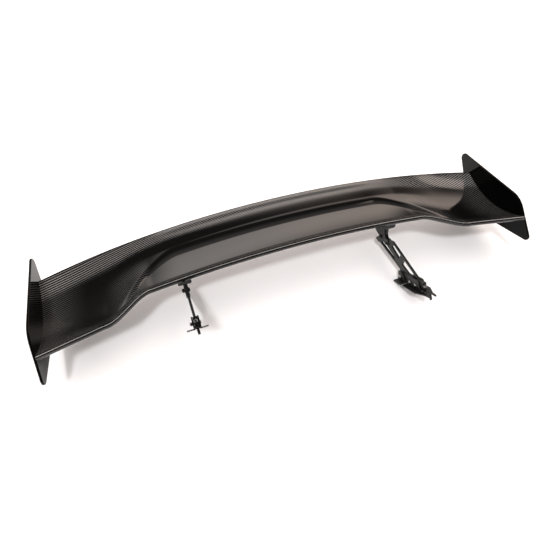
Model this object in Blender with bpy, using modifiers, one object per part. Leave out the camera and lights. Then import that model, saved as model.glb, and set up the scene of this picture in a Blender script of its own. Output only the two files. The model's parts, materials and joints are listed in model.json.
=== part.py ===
"""Carbon-fibre racing rear wing carried by two truss pedestals that swing on their top bolts.

Metres, +Z up.  X runs along the span, -Y is the leading edge and +Y the trailing edge.
The wing is modelled about a datum at the middle of the line joining its two leading-edge ends.
Each pedestal is modelled about its own top bolt, with its feet level, and then swung forward.
"""

import math

import bmesh
import bpy
from mathutils import Matrix

MM = 0.001

# ---- driving dimensions -------------------------------------------------------------------
HALF_SPAN = 774.5 * MM          # half the distance between the endplates' inner faces
END_CHORD = 282 * MM            # nose centre datum to trailing edge at the endplates
NOSE_RADIUS = 8 * MM            # rolled leading edge
SEAM = 1.7 * MM                 # upper skin starts this far behind the top of the nose
SKIN = 1.6 * MM                 # laminate thickness
GAP = 0.3 * MM                  # clearance between pieces that touch
BOND = 1.2 * MM                 # adhesive line between the skins and the inner structure
WING_DATUM = (0, -116.43 * MM, 156.69 * MM)

SWEEP = 40 * MM                 # how far the nose moves back over the outer panels
STEP_BACK = 83 * MM             # extra move back through the S-shaped step
NOSE_START = -9 * MM            # nose centre at the endplates
STEP_OUT = 0.77                 # the S-shaped step lies between these fractions of the half span
STEP_IN = 0.58
NOSE_RISE = 6 * MM
ARCH_NOSE = 30 * MM             # the middle of the nose stands this much higher
ARCH_TAIL = 19 * MM             # and the middle of the trailing edge this much
TAIL_BOW = 102 * MM             # and this much further back
TAIL_FULLNESS = 16 * MM

HOLLOW_MIDDLE = 12 * MM         # depth of the concave upper surface
HOLLOW_END = 41 * MM
TRAY_DROP = 10 * MM             # depth of the flat tray below the rear band
TRAY_RISE = 0.13                # chord fraction over which the surface climbs out of the tray
TRAY_LINE = 0.52                # chord fraction of the tray's rear line in the middle
TRAY_NOSE = 0.10                # and where it runs out near the nose
BAND_CROWN = 5 * MM             # crown of the band behind the tray
TAIL_THICKNESS = 4.2 * MM
BULK = 18 * MM                  # extra thickness at the thickest point

SPAR_FRONT = 0.15               # chord fractions of the two spars
SPAR_REAR = 0.62
SPAR_THICKNESS = 3 * MM
END_RIB = 12 * MM

PLATE = 7 * MM                  # endplate thickness
M5 = 2.5 * MM
M6 = 3 * MM
M8 = 4 * MM
FIT = 0.3 * MM                  # radial clearance of a bolt in its hole

MOUNT_X = 354 * MM              # half the pedestal spacing
PIVOT_Y = 162 * MM
PIVOT_Z = -85 * MM
SWING = {-1: math.radians(52), 1: math.radians(26)}
SIDE_NAME = {-1: "left", 1: "right"}

PAD_FRONT = 131 * MM
PAD_REAR = 236 * MM
PAD_HALF = 21 * MM
FLANGE = 5 * MM
TAB = 5 * MM                    # thickness of the wing bracket's tab
LOCK_RADIUS = 38 * MM           # lock bolt's distance from the pivot bolt
LOCK_ANGLE = 118                # its direction in the pedestal, degrees from rearwards
SWING_RANGE = 56                # degrees between the level feet and the folded stop

ARM = 13 * MM                   # thickness of the arm's clevis head and of its foot block
TRUSS = 7 * MM                  # thickness of the windowed part between them
BASE_Z = -130 * MM              # underside of the feet below the pivot bolt
LEG = 4 * MM                    # thickness of the foot brackets
FOOT_HALF = 30 * MM             # feet reach this far either side of the truss plate's middle
FOOT_BOLT_Z = -112 * MM
FOOT_BOLTS = (-120 * MM, -178 * MM, -208 * MM)
TOE_REAR = -232.3 * MM
TOE_FRONT = -243 * MM
TOE_SCREW_Z = -107 * MM

BODY_COLLECTION = "racing_rear_wing"


# ---- scene helpers ------------------------------------------------------------------------
def clear_scene():
    for old in list(bpy.data.objects):
        bpy.data.objects.remove(old, do_unlink=True)


def make_collection(name):
    collection = bpy.data.collections.new(name)
    bpy.context.scene.collection.children.link(collection)
    return collection


def make_material(name, colour, metallic, roughness, coat=0.0):
    material = bpy.data.materials.new(name)
    material.use_nodes = True
    shader = material.node_tree.nodes["Principled BSDF"]
    shader.inputs["Base Color"].default_value = (*colour, 1)
    shader.inputs["Metallic"].default_value = metallic
    shader.inputs["Roughness"].default_value = roughness
    shader.inputs["Coat Weight"].default_value = coat
    return material


def place(name, mesh, finish, parent, location=(0, 0, 0), rotation=(0, 0, 0)):
    """Link one part as its own object with its own material."""
    part = bpy.data.objects.new(name, mesh)
    parts.objects.link(part)
    part.parent = parent
    part.location = location
    part.rotation_euler = rotation
    if not mesh.materials:
        mesh.materials.append(None)
    part.material_slots[0].link = "OBJECT"
    part.material_slots[0].material = make_material(name + "_finish", *finish)
    return part


def place_tool(name, mesh, parent, location=(0, 0, 0), rotation=(0, 0, 0)):
    """Link a shape that only cuts or joins another part."""
    tool = bpy.data.objects.new(name, mesh)
    tools.objects.link(tool)
    tool.parent = parent
    tool.location = location
    tool.rotation_euler = rotation
    tool.hide_render = True
    tool.display_type = "WIRE"
    return tool


def combine(part, tool, operation):
    modifier = part.modifiers.new(tool.name, "BOOLEAN")
    modifier.operation = operation
    modifier.solver = "EXACT"
    modifier.object = tool


def anchor(name, parent, location, swing=0.0):
    """An empty that carries one rigid body."""
    empty = bpy.data.objects.new(name, None)
    parts.objects.link(empty)
    empty.parent = parent
    empty.location = location
    empty.rotation_euler = (-swing, 0, 0)
    return empty


# ---- shape helpers ------------------------------------------------------------------------
def shade_smooth(mesh, angle=35):
    mesh.shade_smooth()
    mesh.set_sharp_from_angle(angle=math.radians(angle))


def mesh_from(shape, name):
    shape.normal_update()
    bmesh.ops.recalc_face_normals(shape, faces=shape.faces)
    mesh = bpy.data.meshes.new(name)
    shape.to_mesh(mesh)
    shape.free()
    return mesh


def loft(name, sections):
    """A solid through closed outlines that all have the same number of corners."""
    shape = bmesh.new()
    rings = [[shape.verts.new(point) for point in section] for section in sections]
    count = len(rings[0])
    for ring, following in zip(rings, rings[1:]):
        for i in range(count):
            j = (i + 1) % count
            shape.faces.new((ring[i], ring[j], following[j], following[i]))
    shape.faces.new(list(reversed(rings[0])))
    shape.faces.new(rings[-1])
    return mesh_from(shape, name)


def box(name, low, high):
    shape = bmesh.new()
    bmesh.ops.create_cube(shape, size=1)
    size = [b - a for a, b in zip(low, high)]
    middle = [(a + b) / 2 for a, b in zip(low, high)]
    shape.transform(Matrix.Translation(middle) @ Matrix.Diagonal((*size, 1)))
    return mesh_from(shape, name)


def rod(name, radius, length, sides=16):
    """A round or many-sided bar along X, centred on the origin."""
    shape = bmesh.new()
    bmesh.ops.create_cone(shape, cap_ends=True, segments=sides, radius1=radius, radius2=radius, depth=length)
    shape.transform(Matrix.Rotation(math.radians(90), 4, "Y"))
    mesh = mesh_from(shape, name)
    return mesh


def revolve(name, profile, steps=16):
    """A solid of revolution about X; the profile lists (distance along X, radius)."""
    mesh = bpy.data.meshes.new(name)
    outline = [(radius, 0, along) for along, radius in profile]
    mesh.from_pydata(outline, [(i, i + 1) for i in range(len(outline) - 1)], [])
    holder = bpy.data.objects.new(name, mesh)
    tools.objects.link(holder)
    turn = holder.modifiers.new("turn", "SCREW")
    turn.axis = "Z"
    turn.steps = steps
    turn.render_steps = steps
    turn.use_merge_vertices = True
    turn.merge_threshold = 0.00001
    solid = baked(holder)
    solid.transform(Matrix.Rotation(math.radians(90), 4, "Y"))
    shade_smooth(solid)
    return solid


def baked(holder):
    """The finished mesh of an object whose modifiers are done with; the object goes."""
    bpy.context.view_layer.update()
    graph = bpy.context.evaluated_depsgraph_get()
    mesh = bpy.data.meshes.new_from_object(holder.evaluated_get(graph))
    shape = bmesh.new()
    shape.from_mesh(mesh)
    bmesh.ops.remove_doubles(shape, verts=shape.verts, dist=0.000005)
    shape.normal_update()
    bmesh.ops.recalc_face_normals(shape, faces=shape.faces)
    shape.to_mesh(mesh)
    shape.free()
    mesh.name = holder.name
    bpy.data.objects.remove(holder, do_unlink=True)
    return mesh


def plate(name, outline, holes, thickness, edge=0.0):
    """A flat plate in the YZ plane, centred on X = 0, with rounded rims and through holes."""
    curve = bpy.data.curves.new(name, "CURVE")
    curve.dimensions = "2D"
    curve.fill_mode = "BOTH"
    curve.extrude = thickness / 2 - edge
    curve.bevel_depth = edge
    curve.bevel_resolution = 0
    curve.offset = -edge
    for loop in [outline] + list(holes):
        spline = curve.splines.new("POLY")
        spline.points.add(len(loop) - 1)
        for point, (y, z) in zip(spline.points, loop):
            point.co = (y, z, 0, 1)
        spline.use_cyclic_u = True
    holder = bpy.data.objects.new(name, curve)
    tools.objects.link(holder)
    mesh = baked(holder)
    mesh.transform(Matrix(((0, 0, 1, 0), (1, 0, 0, 0), (0, 1, 0, 0), (0, 0, 0, 1))))
    return mesh


def arc(centre, radius, start, stop, count):
    """Points on a circle, angles in degrees from +Y towards +Z."""
    points = []
    for i in range(count + 1):
        angle = math.radians(start + (stop - start) * i / count)
        points.append((centre[0] + radius * math.cos(angle), centre[1] + radius * math.sin(angle)))
    return points


def circle(centre, radius, count=16):
    return arc(centre, radius, 0, 360, count)[:-1]


def rounded(corners, steps=4):
    """Replace each (y, z, radius) corner of an outline with an arc that touches both sides."""
    points = []
    for i, (y, z, radius) in enumerate(corners):
        before = corners[i - 1]
        after = corners[(i + 1) % len(corners)]
        to_before = unit(before[0] - y, before[1] - z)
        to_after = unit(after[0] - y, after[1] - z)
        half = math.acos(to_before[0] * to_after[0] + to_before[1] * to_after[1]) / 2
        bisector = unit(to_before[0] + to_after[0], to_before[1] + to_after[1])
        reach = radius / math.sin(half)
        centre = (y + bisector[0] * reach, z + bisector[1] * reach)
        run = radius / math.tan(half)
        first = (y + to_before[0] * run - centre[0], z + to_before[1] * run - centre[1])
        last = (y + to_after[0] * run - centre[0], z + to_after[1] * run - centre[1])
        start = math.atan2(first[1], first[0])
        turn = (math.atan2(last[1], last[0]) - start + math.pi) % (2 * math.pi) - math.pi
        for k in range(steps + 1):
            angle = start + turn * k / steps
            points.append((centre[0] + radius * math.cos(angle), centre[1] + radius * math.sin(angle)))
    return points


def in_mm(corners):
    """Scale (y, z, radius) corners written in millimetres."""
    return [tuple(value * MM for value in corner) for corner in corners]


def unit(y, z):
    length = math.hypot(y, z)
    return (y / length, z / length)


def inset_line(points, distance):
    """The same run of points moved to its inner side, square to the line."""
    moved = []
    for i, (y, z) in enumerate(points):
        before = points[max(i - 1, 0)]
        after = points[min(i + 1, len(points) - 1)]
        along = unit(after[0] - before[0], after[1] - before[1])
        moved.append((y + along[1] * distance, z - along[0] * distance))
    return moved


def spread(start, stop, count):
    return [start + (stop - start) * i / count for i in range(count + 1)]


def ease(start, stop, value):
    """0 at start, 1 at stop, with level ends."""
    t = min(max((value - start) / (stop - start), 0), 1)
    return t * t * (3 - 2 * t)


# ---- the wing's shape ---------------------------------------------------------------------
def nose_centre(x):
    out = abs(x) / HALF_SPAN
    step = ease(STEP_OUT, STEP_IN, out)
    sweep = SWEEP * min((1 - out) / (1 - STEP_OUT), 1)
    arch = ARCH_NOSE * max(1 - (out / STEP_IN) ** 2, 0)
    return NOSE_START + sweep + STEP_BACK * step, NOSE_RISE * step + arch


def tail_edge(x):
    out = (x / HALF_SPAN) ** 2
    return END_CHORD + (1 - out) * (TAIL_BOW + TAIL_FULLNESS * out), ARCH_TAIL * (1 - out)


def tray_line(x):
    return TRAY_LINE + (TRAY_NOSE - TRAY_LINE) * ease(0.45, 0.74, abs(x) / HALF_SPAN)


def camber_line(x, t):
    """Upper surface without the tray: y and z at chord fraction t."""
    nose_y, nose_z = nose_centre(x)
    tail_y, tail_z = tail_edge(x)
    top = nose_z + NOSE_RADIUS
    hollow = HOLLOW_MIDDLE + (HOLLOW_END - HOLLOW_MIDDLE) * ease(0.45, 0.95, abs(x) / HALF_SPAN)
    return nose_y + (tail_y - nose_y) * t, top + (tail_z - top) * t - hollow * 4 * t * (1 - t)


def upper_surface(x, t):
    y, z = camber_line(x, t)
    out = abs(x) / HALF_SPAN
    climb = min(max((t - tray_line(x)) / TRAY_RISE, 0), 1)
    drop = TRAY_DROP * (1 - ease(0.60, 0.76, out)) * (1 - climb) ** 2 * ease(0, 0.10, t)
    crown = 0
    if t > TRAY_LINE + TRAY_RISE:
        share = (t - TRAY_LINE - TRAY_RISE) / (1 - TRAY_LINE - TRAY_RISE)
        crown = BAND_CROWN * (1 - ease(0.45, 0.9, out)) * math.sin(math.pi * share)
    return y, z - drop + crown


def lower_surface(x, t):
    y, z = camber_line(x, t)
    taper = TAIL_THICKNESS + (2 * NOSE_RADIUS - TAIL_THICKNESS) * (1 - t)
    return y, z - taper - BULK * math.sin(math.pi * t ** 0.7)


def chord_fraction(x, y):
    nose_y = nose_centre(x)[0]
    return (y - nose_y) / (tail_edge(x)[0] - nose_y)


def inner_top(x, y):
    """Highest point inside the wing at y, below the upper skin and its bond line."""
    return upper_surface(x, chord_fraction(x, y))[1] - SKIN * 1.2 - BOND


def inner_bottom(x, y):
    return lower_surface(x, chord_fraction(x, y))[1] + SKIN * 1.2 + BOND


def upper_fractions(x):
    """Chord fractions that keep one row of edges on the tray's rear line."""
    line = tray_line(x)
    front = spread(SEAM / (tail_edge(x)[0] - nose_centre(x)[0]), line, 4)
    climb = spread(line, line + TRAY_RISE, 4)
    rear = spread(line + TRAY_RISE, 1, 5)
    return front[:-1] + climb[:-1] + rear


def span_stations(limit):
    """Stations from end to end, closer together through the S-shaped step."""
    half = spread(0, 0.50, 5)[:-1] + spread(0.50, 0.80, 9)[:-1] + spread(0.80, limit / HALF_SPAN, 3)
    left = [-out for out in reversed(half[1:])]
    return [out * HALF_SPAN for out in left + half]


def upper_skin():
    sections = []
    for x in span_stations(HALF_SPAN - GAP):
        outer = [upper_surface(x, t) for t in upper_fractions(x)]
        inner = inset_line(outer, SKIN)
        sections.append([(x, y, z) for y, z in outer + inner[::-1]])
    mesh = loft("wing_upper_skin", sections)
    shade_smooth(mesh)
    return mesh


def lower_skin():
    """Runs forward from the trailing edge and rolls up round the nose."""
    sections = []
    for x in span_stations(HALF_SPAN - GAP):
        under = [lower_surface(x, t) for t in spread(1, 0.04, 9)]
        centre = nose_centre(x)
        roll = arc(centre, NOSE_RADIUS, 270, 92, 6)
        outer = under + roll
        inner = inset_line(outer, SKIN)
        sections.append([(x, y, z) for y, z in outer + inner[::-1]])
    mesh = loft("wing_lower_skin", sections)
    shade_smooth(mesh)
    return mesh


def spar(name, fraction):
    sections = []
    for x in span_stations(HALF_SPAN - GAP - END_RIB - BOND):
        y = camber_line(x, fraction)[0]
        front = y - SPAR_THICKNESS / 2
        rear = y + SPAR_THICKNESS / 2
        sections.append([
            (x, front, inner_bottom(x, front)),
            (x, rear, inner_bottom(x, rear)),
            (x, rear, inner_top(x, rear)),
            (x, front, inner_top(x, front)),
        ])
    return loft(name, sections)


def rib(name, stations, front_of, rear_of):
    """A block that fills the wing between two lines that may vary along the span."""
    first = stations[0]
    low = front_of(first) + 6 * MM
    high = rear_of(first) - 6 * MM
    picked = [i for i, t in enumerate(upper_fractions(first)) if low < camber_line(first, t)[0] < high]
    sections = []
    for x in stations:
        fractions = upper_fractions(x)
        ys = [front_of(x)] + [camber_line(x, fractions[i])[0] for i in picked] + [rear_of(x)]
        bottom = [(x, y, inner_bottom(x, y)) for y in ys]
        top = [(x, y, inner_top(x, y)) for y in reversed(ys)]
        sections.append(bottom + top)
    return loft(name, sections)


# ---- wing assembly ------------------------------------------------------------------------
CARBON = ((0.030, 0.030, 0.032), 0.0, 0.22, 1.0)
BLACK_GLOSS = ((0.012, 0.012, 0.013), 0.0, 0.18, 0.8)
BLACK_METAL = ((0.030, 0.030, 0.032), 0.8, 0.38)
BRACKET_METAL = ((0.022, 0.022, 0.024), 0.7, 0.42)
BRIGHT_STEEL = ((0.75, 0.75, 0.76), 1.0, 0.25)
BLACK_STEEL = ((0.05, 0.05, 0.055), 0.9, 0.35)
FOAM = ((0.55, 0.48, 0.33), 0.0, 0.85)
INSERT = ((0.62, 0.63, 0.65), 1.0, 0.40)
PAD = ((0.04, 0.04, 0.04), 0.0, 0.75)

ENDPLATE_BOLTS = (0.22, 0.43, 0.64)


def button_head(radius, head_radius, head_height, length):
    """Button-head screw along +X: shank from 0 to length, head on the -X side, hexagon socket."""
    profile = [
        (length, 0),
        (length, radius),
        (0, radius),
        (0, head_radius),
        (-head_height * 0.5, head_radius * 0.95),
        (-head_height, head_radius * 0.6),
        (-head_height, 0),
    ]
    solid = revolve("button_screw", profile)
    holder = bpy.data.objects.new("button_screw", solid)
    tools.objects.link(holder)
    socket = bpy.data.objects.new("socket", rod("socket", radius * 0.62, head_height * 1.3, 6))
    tools.objects.link(socket)
    socket.location = (-head_height, 0, 0)
    combine(holder, socket, "DIFFERENCE")
    mesh = baked(holder)
    bpy.data.objects.remove(socket, do_unlink=True)
    shade_smooth(mesh)
    return mesh


def hex_nut(radius, across, height):
    """Hexagon nut from X = 0 to height, with its bore."""
    outline = circle((0, 0), across / math.sqrt(3), 6)
    mesh = plate("hex_nut", outline, [circle((0, 0), radius + FIT)], height)
    mesh.transform(Matrix.Translation((height / 2, 0, 0)))
    return mesh


def endplate_outline():
    """Long flat top, front edge falling in one curve to a low nose, and a raked rear edge."""
    corners = [(362, 52, 18), (36, 52, 80), (-73, -61, 15), (235, -128, 22)]
    return rounded(in_mm(corners), 7)


def endplate_bolt_points(x):
    """Screw centres halfway up the end rib."""
    points = []
    for t in ENDPLATE_BOLTS:
        y, top = upper_surface(x, t)
        bottom = lower_surface(x, t)[1]
        points.append((y, (top + bottom) / 2))
    return points


def add_endplate(side, wing):
    name = SIDE_NAME[side]
    points = endplate_bolt_points(HALF_SPAN)
    holes = [circle(point, M6 + FIT, 16) for point in points]
    mesh = plate("endplate", endplate_outline(), holes, PLATE, 1.2 * MM)
    place("endplate_" + name, mesh, BLACK_GLOSS, wing, (side * (HALF_SPAN + PLATE / 2), 0, 0))
    inner = HALF_SPAN - GAP - END_RIB
    stations = [side * (inner + END_RIB * i) for i in (0, 1)]
    rib_mesh = rib("end_rib", stations, lambda x: camber_line(x, 0.15)[0], lambda x: camber_line(x, 0.85)[0])
    end_rib = place("end_rib_" + name, rib_mesh, FOAM, wing)
    screw = button_head(M6, 5.5 * MM, 3.3 * MM, 17 * MM)
    turn = (0, 0, math.pi) if side > 0 else (0, 0, 0)
    for number, (y, z) in enumerate(points, 1):
        head_x = side * (HALF_SPAN + PLATE + GAP)
        place(f"endplate_screw_{name}_{number}", screw, BLACK_STEEL, wing, (head_x, y, z), turn)
        drill = place_tool(f"drill_end_{name}_{number}", rod("drill", M6 + FIT, 4 * END_RIB), wing,
                           (side * HALF_SPAN, y, z))
        combine(end_rib, drill, "DIFFERENCE")


def pad_bottom():
    """Flat level just below the lowest point of the skin over the pad."""
    lowest = min(lower_surface(MOUNT_X + dx, chord_fraction(MOUNT_X + dx, y))[1]
                 for dx in (-PAD_HALF, PAD_HALF) for y in spread(PAD_FRONT, PAD_REAR, 8))
    return lowest - 3 * MM


def bracket_outline():
    """Wing bracket's tab in pivot coordinates: an eye round the pivot bolt below a broad root."""
    root = pad_bottom() - GAP - FLANGE / 2 - PIVOT_Z
    eye = arc((0, 0), 14 * MM, 200, 300, 6)
    rear = in_mm([(44, -5), (58, 9), (62, 24)])
    front = in_mm([(-25, 44), (-24, 26)])
    return eye + rear + [(66 * MM, root), (-20 * MM, root)] + front


def lock_slot():
    """Curved slot for the lock bolt; its ends set how far a pedestal swings."""
    start = LOCK_ANGLE - SWING_RANGE
    half = M6 + FIT
    outer = arc((0, 0), LOCK_RADIUS + half, start, LOCK_ANGLE, 10)
    inner = arc((0, 0), LOCK_RADIUS - half, LOCK_ANGLE, start, 10)
    far = math.radians(LOCK_ANGLE)
    near = math.radians(start)
    far_end = arc((LOCK_RADIUS * math.cos(far), LOCK_RADIUS * math.sin(far)), half,
                  LOCK_ANGLE, LOCK_ANGLE + 180, 6)
    near_end = arc((LOCK_RADIUS * math.cos(near), LOCK_RADIUS * math.sin(near)), half,
                   start + 180, start + 360, 6)
    return outer + far_end[1:-1] + inner + near_end[1:-1]


def add_mounting(side, wing, lower):
    """Hard point in the wing, shaped pad below it and the bracket that carries a pedestal."""
    name = SIDE_NAME[side]
    middle = side * MOUNT_X
    stations = [middle + dx for dx in (-20 * MM, 0, 20 * MM)]
    hard = rib("mount_rib", stations,
               lambda x: camber_line(x, SPAR_FRONT)[0] + SPAR_THICKNESS / 2 + BOND,
               lambda x: camber_line(x, SPAR_REAR)[0] - SPAR_THICKNESS / 2 - BOND)
    hard_point = place("mount_rib_" + name, hard, INSERT, wing)

    level = pad_bottom()
    sections = []
    for dx in (-PAD_HALF, 0, PAD_HALF):
        x = middle + dx
        ys = spread(PAD_FRONT, PAD_REAR, 5)
        top = [(x, y, lower_surface(x, chord_fraction(x, y))[1] - BOND) for y in ys]
        sections.append(top + [(x, PAD_REAR, level), (x, PAD_FRONT, level)])
    pad = place("wing_pad_" + name, loft("wing_pad", sections), PAD, wing)

    flange_top = level - GAP
    flange = box("bracket_flange", (middle - 19 * MM, 134 * MM, flange_top - FLANGE),
                 (middle + 19 * MM, 233 * MM, flange_top))
    bracket = place("wing_bracket_" + name, flange, BRACKET_METAL, wing)
    tab_mesh = plate("bracket_tab", bracket_outline(), [circle((0, 0), M8 + FIT), lock_slot()], TAB)
    tab = place_tool("tab_" + name, tab_mesh, wing, (middle, PIVOT_Y, PIVOT_Z))
    combine(bracket, tab, "UNION")

    screw = button_head(M5, 4.8 * MM, 2.8 * MM, 22 * MM)
    spots = [(dx, y) for dx in (-12 * MM, 12 * MM) for y in (163 * MM, 222 * MM)]
    for number, (dx, y) in enumerate(spots, 1):
        head = (middle + dx, y, flange_top - FLANGE - GAP)
        up = (0, -math.pi / 2, 0)
        place(f"bracket_screw_{name}_{number}", screw, BLACK_STEEL, wing, head, up)
        drill = place_tool(f"drill_mount_{name}_{number}", rod("drill", M5 + FIT, 60 * MM), wing, head, up)
        for target in (bracket, pad, lower, hard_point):
            combine(target, drill, "DIFFERENCE")


# ---- pedestal assembly --------------------------------------------------------------------
HEAD_TOP = arc((0, 0), LOCK_RADIUS, LOCK_ANGLE, LOCK_ANGLE + 90, 1)[0]


def truss_outline():
    """Windowed part of the arm; its ends lie inside the clevis head and the foot block."""
    corners = [
        (28, -20.7, 1),
        (28, -10, 1),
        (-40, -2.5, 1),
        (-72, -2.5, 4),
        (-226, -99, 2),
        (-226, -112, 2),
        (-104, -112, 2),
        (-110, -93, 8),
    ]
    return rounded(in_mm(corners), 2)


def truss_windows():
    """Openings between the front strut, the middle beam and the thin rear strut."""
    slot = [(-12, -14, 2), (10, -23, 1.5), (-82, -71, 2), (-72, -53, 3)]
    peephole = [(-56, -9, 1.5), (-24, -15, 1.5), (-36, -21, 1.5)]
    middle = [(-80, -14, 2), (-118, -38, 3), (-103, -55, 3), (-60, -22, 3)]
    low = [(-136, -51, 3), (-190, -84, 3), (-184, -91.5, 3), (-156, -91.5, 3), (-120, -72, 3)]
    return [rounded(in_mm(corners), 2) for corners in (slot, peephole, middle, low)]


def head_outline():
    """Clevis head: a lug up to the lock bolt and a tail that runs out over the rear strut."""
    corners = [
        (44, -13.2, 5),
        (17, -3, 8),
        (12, 16, 8),
        (-8, 45, 9),
        (-28, 42, 9),
        (-30, -1.5, 8),
        (-47, -1.5, 3),
        (-47, -23, 3),
        (22, -24.8, 3),
    ]
    return rounded(in_mm(corners), 3)


def foot_block_outline():
    corners = [(-232, -129, 3), (-99, -129, 4), (-99, -97, 6), (-232, -95, 6)]
    return rounded(in_mm(corners), 3)


def add_arm(side, axis):
    name = SIDE_NAME[side]
    arm = place("pedestal_arm_" + name, plate("arm", truss_outline(), [], TRUSS), BLACK_METAL, axis)
    holes = [circle((0, 0), M8 + FIT), circle(HEAD_TOP, M6 + FIT)]
    head = place_tool("clevis_head_" + name, plate("head", head_outline(), holes, ARM), axis)
    block = place_tool("foot_block_" + name, plate("block", foot_block_outline(), [], ARM), axis)
    for solid in (head, block):
        combine(arm, solid, "UNION")
    windows = truss_windows()
    cutters = [place_tool("windows_" + name, plate("windows", windows[0], windows[1:], 2 * ARM), axis)]
    slot_half = TAB / 2 + GAP
    mouth = box("mouth", (-slot_half, -43 * MM, -17.5 * MM), (slot_half, 70 * MM, 70 * MM))
    cutters.append(place_tool("clevis_mouth_" + name, mouth, axis))
    toe_drill = rod("drill", M6 + FIT, 28 * MM)
    turn = (0, 0, math.pi / 2)
    cutters.append(place_tool("drill_toe_" + name, toe_drill, axis, (0, TOE_REAR, TOE_SCREW_Z), turn))
    for number, y in enumerate(FOOT_BOLTS, 1):
        foot_drill = rod("drill", M6 + FIT, 2 * ARM)
        cutters.append(place_tool(f"drill_foot_{name}_{number}", foot_drill, axis, (0, y, FOOT_BOLT_Z)))
    for cutter in cutters:
        combine(arm, cutter, "DIFFERENCE")


def add_clamp_bolt(name, finish, axis, point, radius, across, side):
    """Bolt through the clevis: head on the inner face and a nut on the outer face."""
    reach = ARM / 2 + GAP
    length = 2 * reach + across * 0.5 + 2 * MM
    bolt = button_head(radius, across * 0.55, across * 0.36, length)
    inward = -side
    turn = (0, 0, 0) if side > 0 else (0, 0, math.pi)
    place(f"{name}_bolt_{SIDE_NAME[side]}", bolt, finish, axis, (inward * reach, *point), turn)
    nut = hex_nut(radius, across, across * 0.5)
    place(f"{name}_nut_{SIDE_NAME[side]}", nut, finish, axis, (side * reach, *point), turn)


def add_foot_bracket(name, finish, axis, out, leg_corners, flange_corners, bolts):
    """Angle bracket: an upright leg against the arm and a flange that stands out from it."""
    inner = out * (ARM / 2 + GAP)
    holes = [circle((y, FOOT_BOLT_Z), M6 + FIT) for y in bolts]
    leg = plate("leg", rounded(in_mm(leg_corners), 3), holes, LEG)
    bracket = place(name, leg, finish, axis, (inner + out * LEG / 2, 0, 0))
    flange = plate("flange", rounded(in_mm(flange_corners), 3), [], LEG)
    flat = Matrix(((0, 0, 1, 0), (0, 1, 0, 0), (-1, 0, 0, 0), (0, 0, 0, 1)))
    flange.transform(flat)
    if out < 0:
        flange.transform(Matrix.Diagonal((-1, 1, 1, 1)))
        flange.flip_normals()
    tool = place_tool(name + "_flange", flange, axis, (inner, 0, BASE_Z + LEG / 2))
    combine(bracket, tool, "UNION")
    return bracket


def add_toe_clamp(side, axis):
    """Upright block in front of the arm with a tongue and a hook, held by one screw."""
    name = SIDE_NAME[side]
    upright = box("upright", (-6 * MM, TOE_FRONT, BASE_Z + LEG + GAP), (6 * MM, TOE_REAR, -95 * MM))
    clamp = place("toe_clamp_" + name, upright, BRACKET_METAL, axis)
    tongue_corners = [
        (-233, -120, 1),
        (-262, -126, 3),
        (-271, -126, 2),
        (-274, -144, 1),
        (-270.5, -144, 1),
        (-267, -130, 1),
        (-233, -130, 1),
    ]
    tongue_mesh = plate("tongue", rounded(in_mm(tongue_corners), 2), [], 7 * MM)
    tongue = place_tool("toe_tongue_" + name, tongue_mesh, axis)
    combine(clamp, tongue, "UNION")
    screw = button_head(M6, 5.5 * MM, 6 * MM, 22 * MM)
    spot = (0, TOE_FRONT - GAP, TOE_SCREW_Z)
    turn = (0, 0, math.pi / 2)
    place("toe_screw_" + name, screw, BLACK_STEEL, axis, spot, turn)
    drill = place_tool("drill_clamp_" + name, rod("drill", M6 + FIT, 40 * MM), axis, spot, turn)
    combine(clamp, drill, "DIFFERENCE")


def add_foot(side, axis):
    name = SIDE_NAME[side]
    rear_leg = [
        (-103, -130, 1),
        (-103, -123, 3),
        (-117, -96, 5),
        (-128, -96, 5),
        (-147, -117, 5),
        (-147, -130, 1),
    ]
    main_leg = [
        (-157, -130, 1),
        (-157, -114, 8),
        (-170, -93, 8),
        (-222, -93, 8),
        (-231, -116, 6),
        (-231, -130, 1),
    ]
    inner = ARM / 2 + GAP
    reach = (FOOT_HALF - inner) / MM
    rear_flange = [(-147, 0, 1), (-147, reach, 4), (-103, reach, 4), (-103, 0, 1)]
    main_flange = [
        (-157, 0, 1),
        (-157, reach, 4),
        (-228, reach, 8),
        (-262, 8.5, 8),
        (-285, 5.5, 2),
        (-285, 1, 1),
        (-240, 0, 4),
    ]
    for out, word in ((-side, "inner"), (side, "outer")):
        add_foot_bracket(f"foot_bracket_rear_{word}_{name}", BRACKET_METAL, axis, out,
                         rear_leg, rear_flange, FOOT_BOLTS[:1])
        add_foot_bracket(f"foot_bracket_main_{word}_{name}", BRACKET_METAL, axis, out,
                         main_leg, main_flange, FOOT_BOLTS[1:])
    reach = ARM / 2 + GAP + LEG + GAP
    bolt = button_head(M6, 5.5 * MM, 3.5 * MM, 2 * reach + 7 * MM)
    nut_mesh = plate("nut", circle((0, 0), 10 * MM / math.sqrt(3), 6), [], 5 * MM)
    turn = (0, 0, 0) if side > 0 else (0, 0, math.pi)
    for number, y in enumerate(FOOT_BOLTS, 1):
        head = (-side * reach, y, FOOT_BOLT_Z)
        part = place(f"foot_bolt_{name}_{number}", bolt, BRIGHT_STEEL, axis, head, turn)
        far = (side * (reach + 2.5 * MM), y, FOOT_BOLT_Z)
        nut = place_tool(f"foot_nut_{name}_{number}", nut_mesh, axis, far)
        combine(part, nut, "UNION")


def add_pedestal(side, wing):
    axis = anchor("pedestal_axis_" + SIDE_NAME[side], wing, (side * MOUNT_X, PIVOT_Y, PIVOT_Z), SWING[side])
    add_arm(side, axis)
    add_clamp_bolt("pivot", BLACK_STEEL, axis, (0, 0), M8, 13 * MM, side)
    add_clamp_bolt("lock", BLACK_STEEL, axis, HEAD_TOP, M6, 10 * MM, side)
    add_foot(side, axis)
    add_toe_clamp(side, axis)


clear_scene()
parts = make_collection(BODY_COLLECTION)
tools = make_collection("cutters")
wing_datum = anchor("wing_datum", None, WING_DATUM)

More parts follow.
